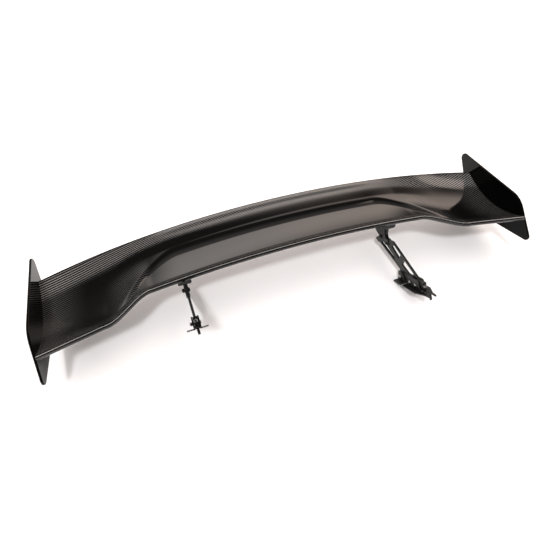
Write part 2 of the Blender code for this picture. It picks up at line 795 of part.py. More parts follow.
place("wing_upper_skin", upper_skin(), CARBON, wing_datum)
lower_part = place("wing_lower_skin", lower_skin(), CARBON, wing_datum)
place("spar_front", spar("spar_front", SPAR_FRONT), FOAM, wing_datum)
place("spar_rear", spar("spar_rear", SPAR_REAR), FOAM, wing_datum)
for which in (-1, 1):
    add_endplate(which, wing_datum)
    add_mounting(which, wing_datum, lower_part)
    add_pedestal(which, wing_datum)
bpy.context.view_layer.update()
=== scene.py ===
import json
import math

import bmesh
import bpy
import numpy as np
from mathutils import Euler, Matrix, Vector


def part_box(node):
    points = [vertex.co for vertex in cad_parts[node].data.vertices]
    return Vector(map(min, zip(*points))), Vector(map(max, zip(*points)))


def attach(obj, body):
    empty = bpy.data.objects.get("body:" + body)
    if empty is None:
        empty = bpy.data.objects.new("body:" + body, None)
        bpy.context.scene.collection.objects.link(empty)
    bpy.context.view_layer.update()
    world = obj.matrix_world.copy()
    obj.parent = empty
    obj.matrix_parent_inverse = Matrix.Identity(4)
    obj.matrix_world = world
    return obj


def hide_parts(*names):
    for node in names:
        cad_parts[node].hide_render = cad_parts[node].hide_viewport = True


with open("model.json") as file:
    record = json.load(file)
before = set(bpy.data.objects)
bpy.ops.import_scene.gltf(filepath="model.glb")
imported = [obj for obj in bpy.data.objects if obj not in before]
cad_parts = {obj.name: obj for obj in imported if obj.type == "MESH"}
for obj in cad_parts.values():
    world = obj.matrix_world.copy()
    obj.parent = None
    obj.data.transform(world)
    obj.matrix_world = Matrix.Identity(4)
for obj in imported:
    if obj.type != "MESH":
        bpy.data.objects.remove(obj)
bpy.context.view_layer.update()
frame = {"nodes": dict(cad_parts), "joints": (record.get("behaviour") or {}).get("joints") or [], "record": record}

MM = 0.001
record = frame["record"]
SLOT_OF = {part["node"]: part["material_slot"] for part in record["subparts"]}
BODY_OF = {node: body for body, nodes in record["behaviour"]["bodies"].items() for node in nodes}
JOINTS = {joint["child"]: joint for joint in frame["joints"]}
MOUNTS = {mount["name"]: mount for mount in record["mounts"]}
SIDES = ("left", "right")

# ---- the wing's shape, in metres, about the middle of the line joining its two nose ends ----
HALF_SPAN = 774.5 * MM
END_CHORD = 282 * MM
NOSE_RADIUS = 8 * MM
SKIN = 1.6 * MM
PIVOT_Y = 162 * MM              # the pedestals' pivots, from the same datum
PIVOT_Z = -85 * MM

SWEEP = 40 * MM                 # how far the nose moves back over the outer panels
STEP_BACK = 83 * MM             # extra move back through the S-shaped step
NOSE_START = -9 * MM            # nose centre at the endplates
STEP_OUT = 0.77                 # the S-shaped step lies between these fractions of the half span
STEP_IN = 0.58
NOSE_RISE = 6 * MM
ARCH_NOSE = 30 * MM             # the middle of the nose stands this much higher
ARCH_TAIL = 19 * MM             # and the middle of the trailing edge this much
TAIL_BOW = 102 * MM             # and this much further back
TAIL_FULLNESS = 16 * MM
HOLLOW_MIDDLE = 12 * MM         # depth of the concave upper surface
HOLLOW_END = 41 * MM
HOLLOW_SPAN = (0.45, 0.95)      # it deepens between these fractions of the half span
TRAY_DROP = 10 * MM             # depth of the flat tray below the rear band
TRAY_RISE = 0.13                # chord fraction over which the surface climbs out of the tray
TRAY_LINE = 0.52                # chord fraction of the tray's rear line in the middle
TRAY_NOSE = 0.10                # and where it runs out near the nose
TRAY_TURN = (0.45, 0.74)        # the line turns forward between these fractions of the half span
TRAY_END = (0.60, 0.76)         # and the tray's depth fades out between these
TRAY_LEAD = 0.10                # chord fraction over which the tray drops behind the nose
BAND_CROWN = 5 * MM             # crown of the band behind the tray
CROWN_END = (0.45, 0.9)         # it fades out between these fractions of the half span
LIP = 3.5 * MM                  # the band kicks up by this much just ahead of the trailing edge
LIP_END = (0.30, 0.62)          # it fades out between these
LIP_SHARE = (0.62, 0.84)        # shares of the band's depth between which it climbs
TAIL_THICKNESS = 4.2 * MM
BULK = 18 * MM                  # extra thickness at the thickest point
SEAM = 1.0 * MM                 # the upper skin starts this far behind the nose centre

SPAN_STATIONS = 241
REAR_POINTS = 22                # points of the upper outline on the rear band,
CLIMB_POINTS = 17               # on the climb
FRONT_POINTS = 25               # and in the tray
UNDER_POINTS = 34               # points of the lower outline on the underside
ROLL_POINTS = 26                # and round the nose
UNDER_START = 0.045             # chord fraction where the underside meets the rolled nose
ROLL = (268, 92)                # the nose's arc, in degrees from straight back


def datum_of_wing():
    """The wing's datum in the row frame, found from a pedestal's joint."""
    pivot = JOINTS["pedestal_left"]["pos_m"]
    return Vector((0, pivot[1] - PIVOT_Y, pivot[2] - PIVOT_Z))


DATUM = datum_of_wing()


def ease(start, stop, value):
    """A smooth climb from 0 at start to 1 at stop."""
    t = np.clip((value - start) / (stop - start), 0, 1)
    return t * t * (3 - 2 * t)


def span_share(x):
    return abs(x) / HALF_SPAN


def nose_centre(x):
    """Centre of the rolled leading edge at a station."""
    out = span_share(x)
    step = ease(STEP_OUT, STEP_IN, out)
    sweep = SWEEP * min((1 - out) / (1 - STEP_OUT), 1)
    arch = ARCH_NOSE * max(1 - (out / STEP_IN) ** 2, 0)
    return NOSE_START + sweep + STEP_BACK * step, NOSE_RISE * step + arch


def tail_edge(x):
    """Top of the trailing edge at a station."""
    out = (x / HALF_SPAN) ** 2
    return END_CHORD + (1 - out) * (TAIL_BOW + TAIL_FULLNESS * out), ARCH_TAIL * (1 - out)


def tray_line(x):
    """Chord fraction where the tray ends and the climb to the rear band starts."""
    return TRAY_LINE + (TRAY_NOSE - TRAY_LINE) * ease(*TRAY_TURN, span_share(x))


def camber_line(x, t):
    """The plain hollow surface at a station and chord fraction."""
    nose_y, nose_z = nose_centre(x)
    tail_y, tail_z = tail_edge(x)
    top = nose_z + NOSE_RADIUS
    hollow = HOLLOW_MIDDLE + (HOLLOW_END - HOLLOW_MIDDLE) * ease(*HOLLOW_SPAN, span_share(x))
    return nose_y + (tail_y - nose_y) * t, top + (tail_z - top) * t - hollow * 4 * t * (1 - t)


def upper_surface(x, t):
    """The camber line with its tray, rear band and lip."""
    y, z = camber_line(x, t)
    out = span_share(x)
    climb = np.clip((t - tray_line(x)) / TRAY_RISE, 0, 1)
    drop = TRAY_DROP * (1 - ease(*TRAY_END, out)) * (1 - climb) ** 2 * ease(0, TRAY_LEAD, t)
    share = np.clip((t - TRAY_LINE - TRAY_RISE) / (1 - TRAY_LINE - TRAY_RISE), 0, 1)
    crown = BAND_CROWN * (1 - ease(*CROWN_END, out)) * math.sin(math.pi * share)
    lip = LIP * (1 - ease(*LIP_END, out)) * (ease(*LIP_SHARE, share) - share)
    return y, z - drop + crown + lip


def lower_surface(x, t):
    """The underside, which is thickest ahead of the middle."""
    y, z = camber_line(x, t)
    taper = TAIL_THICKNESS + (2 * NOSE_RADIUS - TAIL_THICKNESS) * (1 - t)
    return y, z - taper - BULK * math.sin(math.pi * t ** 0.7)


def chord_fraction(x, y):
    """0 at the nose centre and 1 at the trailing edge."""
    nose_y = nose_centre(x)[0]
    return (y - nose_y) / (tail_edge(x)[0] - nose_y)


# ---- node helpers ---------------------------------------------------------------------------
class Nodes:
    """Short ways to add and join shader nodes in one material."""

    def __init__(self, name):
        self.material = bpy.data.materials.new(name)
        self.material.use_nodes = True
        self.tree = self.material.node_tree
        self.shader = self.tree.nodes["Principled BSDF"]

    def link(self, value, socket):
        """Join another node's socket to this one, or set it to a number or colour."""
        if isinstance(value, bpy.types.NodeSocket):
            self.tree.links.new(value, socket)
        elif value is not None:
            socket.default_value = value

    def add(self, kind, settings=None, **inputs):
        node = self.tree.nodes.new(kind)
        for key, value in (settings or {}).items():
            setattr(node, key, value)
        for key, value in inputs.items():
            self.link(value, node.inputs[key.replace("_", " ")])
        return node

    def math(self, operation, *values, clamp=False):
        node = self.tree.nodes.new("ShaderNodeMath")
        node.operation = operation
        node.use_clamp = clamp
        for value, socket in zip(values, node.inputs):
            self.link(value, socket)
        return node.outputs[0]

    def mix(self, factor, a, b):
        """Colour mix."""
        node = self.tree.nodes.new("ShaderNodeMix")
        node.data_type = "RGBA"
        self.link(factor, node.inputs["Factor"])
        self.link(a, node.inputs["A"])
        self.link(b, node.inputs["B"])
        return node.outputs["Result"]

    def blend(self, factor, a, b):
        """Plain number mix."""
        node = self.tree.nodes.new("ShaderNodeMix")
        self.link(factor, node.inputs["Factor"])
        self.link(a, node.inputs["A"])
        self.link(b, node.inputs["B"])
        return node.outputs["Result"]

    def place(self):
        return self.add("ShaderNodeTexCoord").outputs["Object"]

    def noise(self, place, scale, detail=3.0, roughness=0.5):
        node = self.add("ShaderNodeTexNoise", Vector=place, Scale=scale, Detail=detail, Roughness=roughness)
        return node.outputs["Fac"]

    def bump(self, height, distance, strength):
        node = self.add("ShaderNodeBump", Height=height, Distance=distance, Strength=strength)
        return node.outputs["Normal"]

    def grey(self, level, warm):
        """A nearly neutral colour from a number that varies."""
        return self.add("ShaderNodeCombineColor", Red=self.math("MULTIPLY", level, 1 + warm), Green=level,
                        Blue=self.math("MULTIPLY", level, 1 - warm)).outputs["Color"]

    def specks(self, scale, size, share):
        """1 on small round dots, scattered over a share of the cells, and 0 elsewhere."""
        cells = self.add("ShaderNodeTexVoronoi", Vector=self.place(), Scale=scale)
        chance = self.add("ShaderNodeSeparateColor", Color=cells.outputs["Color"]).outputs[0]
        inside = self.math("LESS_THAN", cells.outputs["Distance"], size)
        return self.math("MULTIPLY", inside, self.math("GREATER_THAN", chance, 1.0 - share))

    def set(self, **inputs):
        """Finish the material with these inputs of its shader."""
        for key, value in inputs.items():
            self.link(value, self.shader.inputs[key.replace("_", " ")])
        return self.material


def grey(level, warm=0.0):
    return (level * (1 + warm), level, level * (1 - warm), 1)


# ---- materials ------------------------------------------------------------------------------
TOW = 2.4 * MM                  # width of one tow, laid at 45 degrees to the twill lines
CLOTH_TURN = 15                 # the twill lines of the upper skin lie this far from the span
FIBRES_ALONG = 0.3              # how finely the fibres' streaks vary along a tow
FIBRES_ACROSS = 9.0             # and across it, for each tow's width
CALM_LEVEL = 0.06               # the calm cloth's brightness, as a share of the tows'
RESIN_BLACK = 0.001
DUST_SCALE = 42.0               # cells to a metre, of which some hold a speck
DUST_SIZE = 0.045               # the speck's radius, in cells


def twill(n):
    """Height of a 2 x 2 twill, streaks along its fibres, and 1 where a warp tow lies on top."""
    cloth = n.add("ShaderNodeUVMap", {"uv_map": "cloth"}).outputs["UV"]
    split = n.add("ShaderNodeSeparateXYZ", Vector=cloth)
    pitch = TOW * math.sqrt(2)
    across = n.math("DIVIDE", n.math("ADD", split.outputs["X"], split.outputs["Y"]), pitch)
    along = n.math("DIVIDE", n.math("SUBTRACT", split.outputs["Y"], split.outputs["X"]), pitch)
    column = n.math("FLOOR", across)
    row = n.math("FLOOR", along)
    step = n.math("FLOORED_MODULO", n.math("ADD", column, row), 4.0)
    warp_on_top = n.math("LESS_THAN", step, 1.5)

    warp_round = n.math("SINE", n.math("MULTIPLY", n.math("FRACT", across), math.pi))
    weft_round = n.math("SINE", n.math("MULTIPLY", n.math("FRACT", along), math.pi))
    profile = n.blend(warp_on_top, weft_round, warp_round)
    float_place = n.blend(warp_on_top, n.math("ADD", across, row), n.math("ADD", along, column))
    half_way = n.math("FRACT", n.math("DIVIDE", float_place, 2.0))
    crown = n.math("SINE", n.math("MULTIPLY", half_way, math.pi))
    height = n.math("ADD", n.math("MULTIPLY", profile, 0.6), n.math("MULTIPLY", crown, 0.4))

    long_x = n.math("MULTIPLY", across, FIBRES_ALONG)
    short_x = n.math("MULTIPLY", across, FIBRES_ACROSS)
    long_y = n.math("MULTIPLY", along, FIBRES_ALONG)
    short_y = n.math("MULTIPLY", along, FIBRES_ACROSS)
    stretch = n.add("ShaderNodeCombineXYZ", X=n.blend(warp_on_top, long_x, short_x),
                    Y=n.blend(warp_on_top, short_y, long_y))
    return height, n.noise(stretch.outputs[0], 1.0, 2.0), warp_on_top


def carbon(name, level, weft_share, coat_ior, dust, cloth_varies):
    """2 x 2 twill under clear coat, laid by the piece's UV map in metres.

    The tows' glint is painted into the colour: the warp tows' crowns are painted bright, and the
    weft tows show a share of the warp's level as a painted reflection. On the skins the point
    attribute "calm" is 1 where the weave hardly shows, as in the tray, and a second point attribute
    scales the painted glint into painted highlights in patches.
    """
    n = Nodes(name)
    height, fibres, warp_on_top = twill(n)
    tone = n.math("ADD", n.math("MULTIPLY", fibres, 0.8), 0.4)
    # Painted glint: the tows' crowns are painted bright in the colour, with no specular of their own.
    rise = n.math("POWER", height, 4.0)
    face = n.blend(warp_on_top, level * weft_share, level)
    weave = n.math("MULTIPLY", n.math("MULTIPLY", face, tone), rise)
    # On the skins the painted glint is scaled by the painted highlight patches.
    if cloth_varies:
        calm = n.add("ShaderNodeAttribute", {"attribute_name": "calm"}).outputs["Fac"]
        painted_sheen = n.add("ShaderNodeAttribute", {"attribute_name": "painted_sheen"}).outputs["Fac"]
        weave = n.blend(calm, n.math("MULTIPLY", weave, painted_sheen), level * CALM_LEVEL)
    colour = n.grey(n.math("ADD", weave, RESIN_BLACK), 0.03)
    colour = n.mix(n.specks(DUST_SCALE, DUST_SIZE, dust), colour, grey(0.6))
    ripple = n.bump(n.noise(n.place(), 55.0, 2.0), 0.12 * MM, 0.15)
    return n.set(Base_Color=colour, Metallic=0.0, Roughness=0.42, IOR=1.45, Specular_IOR_Level=0.0,
                 Normal=n.bump(height, 0.12 * MM, 0.5), Coat_Weight=1.0, Coat_Roughness=0.06,
                 Coat_IOR=coat_ior, Coat_Normal=ripple)


def worn_metal(name, level, metallic, roughness, edge_level):
    """Finely blasted metal with brighter, rubbed edges and faint handling marks."""
    n = Nodes(name)
    place = n.place()
    grain = n.noise(place, 900.0, 2.0)
    smear = n.noise(place, 22.0, 5.0, 0.6)
    bevel = n.add("ShaderNodeBevel", {"samples": 4}, Radius=0.9 * MM)
    geometry = n.add("ShaderNodeNewGeometry")
    turn = n.add("ShaderNodeVectorMath", {"operation": "DOT_PRODUCT"})
    n.link(bevel.outputs[0], turn.inputs[0])
    n.link(geometry.outputs["Normal"], turn.inputs[1])
    edge = n.math("MULTIPLY", n.math("SUBTRACT", 1.0, turn.outputs["Value"]), 9.0, clamp=True)
    rubbed = n.math("MULTIPLY", edge, n.math("GREATER_THAN", smear, 0.47))
    colour = n.mix(rubbed, grey(level), grey(edge_level))
    rough = n.math("MULTIPLY_ADD", smear, 0.25, roughness - 0.12)
    normal = n.bump(grain, 0.04 * MM, 0.35)
    return n.set(Base_Color=colour, Metallic=metallic, Roughness=rough, Normal=normal)


def turned_steel(name, level, roughness, streak):
    """Plated steel with fine rings left by turning and small specks of wear."""
    n = Nodes(name)
    place = n.place()
    rings = n.add("ShaderNodeTexWave", {"wave_type": "RINGS", "rings_direction": "X"}, Vector=place,
                  Scale=900.0, Distortion=1.5, Detail=2.0).outputs["Fac"]
    specks = n.noise(place, 400.0, 3.0)
    colour = n.mix(n.math("MULTIPLY", specks, 0.5), grey(level), grey(level * 0.6, 0.03))
    rough = n.math("MULTIPLY_ADD", rings, streak, roughness)
    return n.set(Base_Color=colour, Metallic=1.0, Roughness=rough, Normal=n.bump(rings, 0.03 * MM, 0.3))


def grained(name, colour_a, colour_b, scale, roughness, depth):
    """Matte filler, foam or rubber: mottled colour and a fine pitted surface."""
    n = Nodes(name)
    place = n.place()
    pits = n.add("ShaderNodeTexVoronoi", Vector=place, Scale=scale * 4).outputs["Distance"]
    colour = n.mix(n.noise(place, scale, 4.0), colour_a, colour_b)
    return n.set(Base_Color=colour, Roughness=roughness, Normal=n.bump(pits, depth, 0.6))


def studio_paper():
    n = Nodes("studio_paper")
    place = n.place()
    tone = n.noise(place, 1.3, 4.0)
    colour = n.mix(tone, (0.93, 0.92, 0.92, 1), (0.95, 0.94, 0.94, 1))
    tooth = n.noise(place, 500.0, 3.0)
    return n.set(Base_Color=colour, Roughness=0.85, Normal=n.bump(tooth, 0.2 * MM, 0.2))


FOAM_DARK = (0.60, 0.52, 0.34, 1)
FOAM_LIGHT = (0.68, 0.60, 0.42, 1)
MATERIALS = {
    "carbon_skin": carbon("carbon_skin", level=0.30, weft_share=0.03, coat_ior=1.5, dust=0.03,
                          cloth_varies=True),
    "endplate_gloss": carbon("endplate_gloss", level=0.004, weft_share=0.5, coat_ior=1.25, dust=0.0,
                             cloth_varies=False),
    "carbon_spar": grained("carbon_spar", grey(0.04), grey(0.07), 60.0, 0.6, 0.2 * MM),
    "foam_rib": grained("foam_rib", FOAM_DARK, FOAM_LIGHT, 80.0, 0.9, 0.4 * MM),
    "hard_point": grained("hard_point", grey(0.28), grey(0.34), 70.0, 0.8, 0.3 * MM),
    "pad_rubber": grained("pad_rubber", grey(0.018), grey(0.03), 90.0, 0.75, 0.3 * MM),
    "black_aluminium": worn_metal("black_aluminium", level=0.007, metallic=0.30, roughness=0.36,
                                  edge_level=0.09),
    "bracket_black": worn_metal("bracket_black", level=0.006, metallic=0.30, roughness=0.38,
                                edge_level=0.08),
    "black_steel": turned_steel("black_steel", level=0.06, roughness=0.30, streak=0.15),
    "bright_steel": turned_steel("bright_steel", level=0.78, roughness=0.18, streak=0.15),
    "grey_steel": turned_steel("grey_steel", level=0.45, roughness=0.32, streak=0.12),
}


# ---- piece helpers --------------------------------------------------------------------------
EDGE = 0.5 * MM                 # rounding of the metal pieces' edges
PLATE_EDGE = 1.6 * MM           # and of the endplates'
ROUND_SIDES = 40
THREAD = 1 * MM                 # pitch
THREAD_SHARE = 0.6              # of the shank's length
SOCKET_RADIUS = 0.36            # the hexagon socket's, as a share of the head's
SOCKET_DEPTH = 0.6              # as a share of the head's height


def swing_of(body):
    """How far a pedestal is swung from feet level, read from its foot's outward normal."""
    normal = MOUNTS[body.replace("pedestal", "foot")]["axis"]
    return math.atan2(-normal[1], -normal[2])


def frame_of(body):
    """A body's own axes: the wing's are the row's, a pedestal's stand on its pivot with level feet."""
    if body == "wing":
        return Matrix.Identity(4)
    return Matrix.Translation(JOINTS[body]["pos_m"]) @ Matrix.Rotation(-swing_of(body), 4, "X")


def stand_for(node, mesh, matrix=None):
    """Show this mesh in place of a CAD node, on its body and with its finish."""
    piece = bpy.data.objects.new(node + "_look", mesh)
    bpy.context.scene.collection.objects.link(piece)
    piece.matrix_world = matrix or Matrix.Identity(4)
    mesh.materials.clear()
    mesh.materials.append(MATERIALS[SLOT_OF[node]])
    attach(piece, BODY_OF[node])
    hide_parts(node)
    return piece


def smooth(mesh, angle=32):
    """Smooth shading, with sharp edges kept past this angle in degrees."""
    mesh.shade_smooth()
    mesh.set_sharp_from_angle(angle=math.radians(angle))
    return mesh


def soften(piece, width):
    """Round the piece's sharp edges."""
    bevel = piece.modifiers.new("soft_edges", "BEVEL")
    bevel.width = width
    bevel.segments = 3
    bevel.limit_method = "ANGLE"
    bevel.angle_limit = math.radians(28)
    bevel.use_clamp_overlap = True
    bevel.harden_normals = True


def refined(node, width):
    """The CAD shape with joined faces and rounded edges."""
    shape = bmesh.new()
    shape.from_mesh(frame["nodes"][node].data)
    bmesh.ops.remove_doubles(shape, verts=shape.verts, dist=0.01 * MM)
    bmesh.ops.dissolve_limit(shape, angle_limit=math.radians(1), verts=shape.verts, edges=shape.edges)
    mesh = bpy.data.meshes.new(node + "_look")
    shape.to_mesh(mesh)
    shape.free()
    piece = stand_for(node, smooth(mesh))
    soften(piece, width)
    return piece


# ---- screws ---------------------------------------------------------------------------------
def revolved(name, profile):
    """A round solid about X from (distance along X, radius) points."""
    mesh = bpy.data.meshes.new(name)
    shape = bmesh.new()
    angles = [2 * math.pi * i / ROUND_SIDES for i in range(ROUND_SIDES)]
    rings = []
    for along, radius in profile:
        if radius == 0:
            rings.append([shape.verts.new((along, 0, 0))])
            continue
        rings.append([shape.verts.new((along, radius * math.cos(a), radius * math.sin(a))) for a in angles])
    for ring, following in zip(rings, rings[1:]):
        for i in range(ROUND_SIDES):
            j = (i + 1) % ROUND_SIDES
            corners = [ring[i % len(ring)], ring[j % len(ring)], following[j % len(following)],
                       following[i % len(following)]]
            shape.faces.new(list(dict.fromkeys(corners)))
    bmesh.ops.recalc_face_normals(shape, faces=shape.faces)
    shape.to_mesh(mesh)
    shape.free()
    return mesh


def screw_profile(radius, head_radius, head_height, length):
    """From the shank's tip at +X, over its threads, to the top of the domed head at -X."""
    profile = [(length, 0), (length, radius * 0.7), (length - 0.5 * MM, radius * 0.95)]
    first_thread = length - 0.6 * MM
    turns = int((length * THREAD_SHARE) / THREAD)
    for i in range(turns):
        start = first_thread - i * THREAD
        profile += [(start - THREAD * 0.1, radius), (start - THREAD * 0.5, radius * 0.88)]
    profile += [(first_thread - turns * THREAD, radius), (0, radius), (0, head_radius)]
    profile += [(-head_height * 0.25, head_radius)]
    for i in range(1, 7):
        angle = math.radians(15 * i)
        reach = head_radius * (0.5 + 0.5 * math.cos(angle))
        profile.append((-head_height * (0.25 + 0.75 * math.sin(angle)), reach))
    profile.append((-head_height, 0))
    return profile


def hexagon_bar(radius, length):
    """A hexagonal bar along X, about the origin."""
    shape = bmesh.new()
    bmesh.ops.create_cone(shape, cap_ends=True, segments=6, radius1=radius, radius2=radius, depth=length)
    shape.transform(Matrix.Rotation(math.radians(90), 4, "Y"))
    mesh = bpy.data.meshes.new("socket")
    shape.to_mesh(mesh)
    shape.free()
    return mesh


def cut_by(mesh, tool_mesh, place):
    """The mesh less a tool standing at a place, worked out once."""
    holder = bpy.data.objects.new("holder", mesh)
    tool = bpy.data.objects.new("tool", tool_mesh)
    tool.location = place
    for thing in (holder, tool):
        bpy.context.scene.collection.objects.link(thing)
    cut = holder.modifiers.new("socket", "BOOLEAN")
    cut.operation = "DIFFERENCE"
    cut.solver = "EXACT"
    cut.object = tool
    bpy.context.view_layer.update()
    graph = bpy.context.evaluated_depsgraph_get()
    done = bpy.data.meshes.new_from_object(holder.evaluated_get(graph))
    for thing in (holder, tool):
        bpy.data.objects.remove(thing, do_unlink=True)
    return done


def screw_shape(name, radius, head_radius, head_height, length):
    """Button head on the -X side with a recessed hexagon socket, and a threaded shank to +X."""
    mesh = revolved(name, screw_profile(radius, head_radius, head_height, length))
    socket = hexagon_bar(head_radius * SOCKET_RADIUS, head_height * SOCKET_DEPTH * 2)
    return smooth(cut_by(mesh, socket, (-head_height, 0, 0)), 40)


def add_screw(node):
    """Rebuild one screw from the sizes of its CAD node; the wider end is its head."""
    own = frame_of(BODY_OF[node])
    to_own = own.inverted()
    points = [to_own @ v.co for v in frame["nodes"][node].data.vertices]
    low = Vector(min(p[i] for p in points) for i in range(3))
    high = Vector(max(p[i] for p in points) for i in range(3))
    middle = (low + high) / 2
    spans = high - low
    run = max(range(3), key=lambda i: spans[i])
    others = [i for i in range(3) if i != run]
    head_radius = spans[others[0]] / 2

    def girth(point):
        return max(abs(point[i] - middle[i]) for i in others)

    wide = [p[run] for p in points if girth(p) > head_radius * 0.9]
    head_middle = sum(wide) / len(wide)
    head_is_low = abs(head_middle - low[run]) < abs(head_middle - high[run])
    top = low[run] if head_is_low else high[run]
    shoulder = max(wide) if head_is_low else min(wide)
    tip = high[run] if head_is_low else low[run]
    radius = max(girth(p) for p in points if abs(p[run] - tip) < 0.2 * MM)
    mesh = screw_shape(node + "_look", radius, head_radius, abs(shoulder - top), abs(tip - shoulder))

    direction = Vector((0, 0, 0))
    direction[run] = 1 if head_is_low else -1
    place = middle.copy()
    place[run] = shoulder
    turn = Vector((1, 0, 0)).rotation_difference(direction).to_matrix().to_4x4()
    return stand_for(node, mesh, own @ Matrix.Translation(place) @ turn)


# ---- wing skins and endplates ---------------------------------------------------------------
# The tows' glint is painted into the skin's colour, with painted highlights in these patches.
PAINTED_SHEEN_BASE = 0.05               # painted glint of the tows everywhere and painted highlights along the trailing edge, over the S-shaped steps, just behind the nose's seam, beside the endplates and on the rolled nose
PAINTED_SHEEN_TAIL = 1.6                # and how much more along the trailing edge,
PAINTED_SHEEN_STEP = 0.45               # over the S-shaped steps,
PAINTED_SHEEN_SEAM = 0.2                # just behind the nose's seam,
PAINTED_SHEEN_END = 0.6                 # beside the endplates
PAINTED_SHEEN_NOSE = 3.4                # and on the rolled nose
# The patches of painted highlight.
TAIL_PATCH = (0.76, 0.84, 0.97, 0.985)      # chord fractions: rises, full, fades, gone
STEP_PATCH = (0.56, 0.62, 0.68, 0.78)       # the same, as fractions of the half span
STEP_FADE = (0.45, 0.7)         # chord fractions
SEAM_FADE = (0.05, 0.12)        # chord fractions
END_RISE = (0.82, 0.98)         # fractions of the half span
NOSE_STRIP = (0.60, 0.96)       # heights of the nose's painted highlight strip, in nose radii
CALM_RISE = (0.0, 0.03)         # chord fractions behind the nose
CALM_END = (0.52, 0.66)         # fractions of the half span
ON_TOP = 5 * MM                 # a point this far above the underside lies on the upper skin


def patch(rise, full, fade, gone, value):
    """1 between full and fade, and 0 before the rise and after it is gone."""
    return ease(rise, full, value) * (1 - ease(fade, gone, value))


def tray_calm(x, y, z):
    """1 inside the tray, falling to 0 across its rim and through the S-shaped step."""
    t = chord_fraction(x, y)
    on_top = float(z > lower_surface(x, min(max(t, 0.02), 0.98))[1] + ON_TOP)
    rear = 1 - ease(tray_line(x), tray_line(x) + TRAY_RISE * 0.5, t)
    return float(on_top * ease(*CALM_RISE, t) * rear * (1 - ease(*CALM_END, span_share(x))))


def painted_sheen_at(x, y, z):
    """Strength of the tows' painted glint, raised into painted highlights in patches of the wing."""
    out = span_share(x)
    t = chord_fraction(x, y)
    nose_y, nose_z = nose_centre(x)
    tail = patch(*TAIL_PATCH, t)
    step = patch(*STEP_PATCH, out) * (1 - ease(*STEP_FADE, t))
    seam = (y > nose_y) * (1 - ease(*SEAM_FADE, t))
    end = ease(*END_RISE, out)
    nose = y < nose_y and NOSE_STRIP[0] < (z - nose_z) / NOSE_RADIUS < NOSE_STRIP[1]
    return float(PAINTED_SHEEN_BASE + PAINTED_SHEEN_TAIL * tail + PAINTED_SHEEN_STEP * step + PAINTED_SHEEN_SEAM * seam
                 + PAINTED_SHEEN_END * end + PAINTED_SHEEN_NOSE * nose)


def paint(mesh, name, value_at):
    """Give every point a number, worked out from its place on the wing."""
    layer = mesh.attributes.new(name, "FLOAT", "POINT")
    layer.data.foreach_set("value", [value_at(*(vertex.co - DATUM)) for vertex in mesh.vertices])


def offset_inward(outer):
    """The line one skin thickness inside the outer line."""
    inner = []
    for i, (y, z) in enumerate(outer):
        before = outer[max(i - 1, 0)]
        after = outer[min(i + 1, len(outer) - 1)]
        run = math.dist(before, after)
        inner.append((y + (after[1] - before[1]) / run * SKIN, z - (after[0] - before[0]) / run * SKIN))
    return inner


def shell_ring(shape, x, outer):
    """The shell's closed outline at a station, as (vertex, distance along the cloth) pairs."""
    runs = [math.dist(a, b) for a, b in zip(outer, outer[1:])]
    lengths = [sum(runs[i:]) for i in range(len(outer))]
    outside = list(zip(outer, lengths))
    inside = list(zip(offset_inward(outer), lengths))
    outline = outside + inside[::-1]
    return [(shape.verts.new(DATUM + Vector((x, y, z))), along) for (y, z), along in outline]


def cloth_face(shape, cloth, corners):
    """One face of ((vertex, distance along the cloth), station) corners, with its cloth coordinates."""
    face = shape.faces.new([vertex for (vertex, along), x in corners])
    for loop, ((vertex, along), x) in zip(face.loops, corners):
        loop[cloth].uv = (x, along)


def skin_mesh(name, stations, outline_of):
    """A closed thin shell; outline_of gives the outer line at a station, from one edge to the other."""
    shape = bmesh.new()
    rings = [shell_ring(shape, x, outline_of(x)) for x in stations]
    cloth = shape.loops.layers.uv.new("cloth")
    for ring, following, x, next_x in zip(rings, rings[1:], stations, stations[1:]):
        for i in range(len(ring)):
            j = (i + 1) % len(ring)
            corners = [(ring[i], x), (ring[j], x), (following[j], next_x), (following[i], next_x)]
            cloth_face(shape, cloth, corners)
    cloth_face(shape, cloth, [(point, stations[0]) for point in reversed(rings[0])])
    cloth_face(shape, cloth, [(point, stations[-1]) for point in rings[-1]])
    shape.normal_update()
    bmesh.ops.recalc_face_normals(shape, faces=shape.faces)
    mesh = bpy.data.meshes.new(name)
    shape.to_mesh(mesh)
    shape.free()
    paint(mesh, "calm", tray_calm)
    # Painted highlight strength for the tows' painted glint.
    paint(mesh, "painted_sheen", painted_sheen_at)
    return smooth(mesh, 40)


def span_stations(node):
    low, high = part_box(node)
    return [float(x) for x in np.linspace(low.x, high.x, SPAN_STATIONS)]


def upper_outline(x):
    """From the nose's seam to the trailing edge, with points packed round the crease."""
    line = float(tray_line(x))
    chord = tail_edge(x)[0] - nose_centre(x)[0]
    rear = np.linspace(1, line + TRAY_RISE, REAR_POINTS)
    climb = np.linspace(line + TRAY_RISE, line, CLIMB_POINTS)[1:]
    front = np.linspace(line, SEAM / chord, FRONT_POINTS)[1:]
    return [upper_surface(x, float(t)) for t in (*rear, *climb, *front)][::-1]


def lower_outline(x):
    """From the trailing edge forward, and up round the rolled nose to the seam."""
    under = [lower_surface(x, float(t)) for t in np.linspace(1, UNDER_START, UNDER_POINTS)]
    y, z = nose_centre(x)
    angles = [math.radians(degrees) for degrees in np.linspace(*ROLL, ROLL_POINTS)]
    return under + [(y + NOSE_RADIUS * math.cos(a), z + NOSE_RADIUS * math.sin(a)) for a in angles]


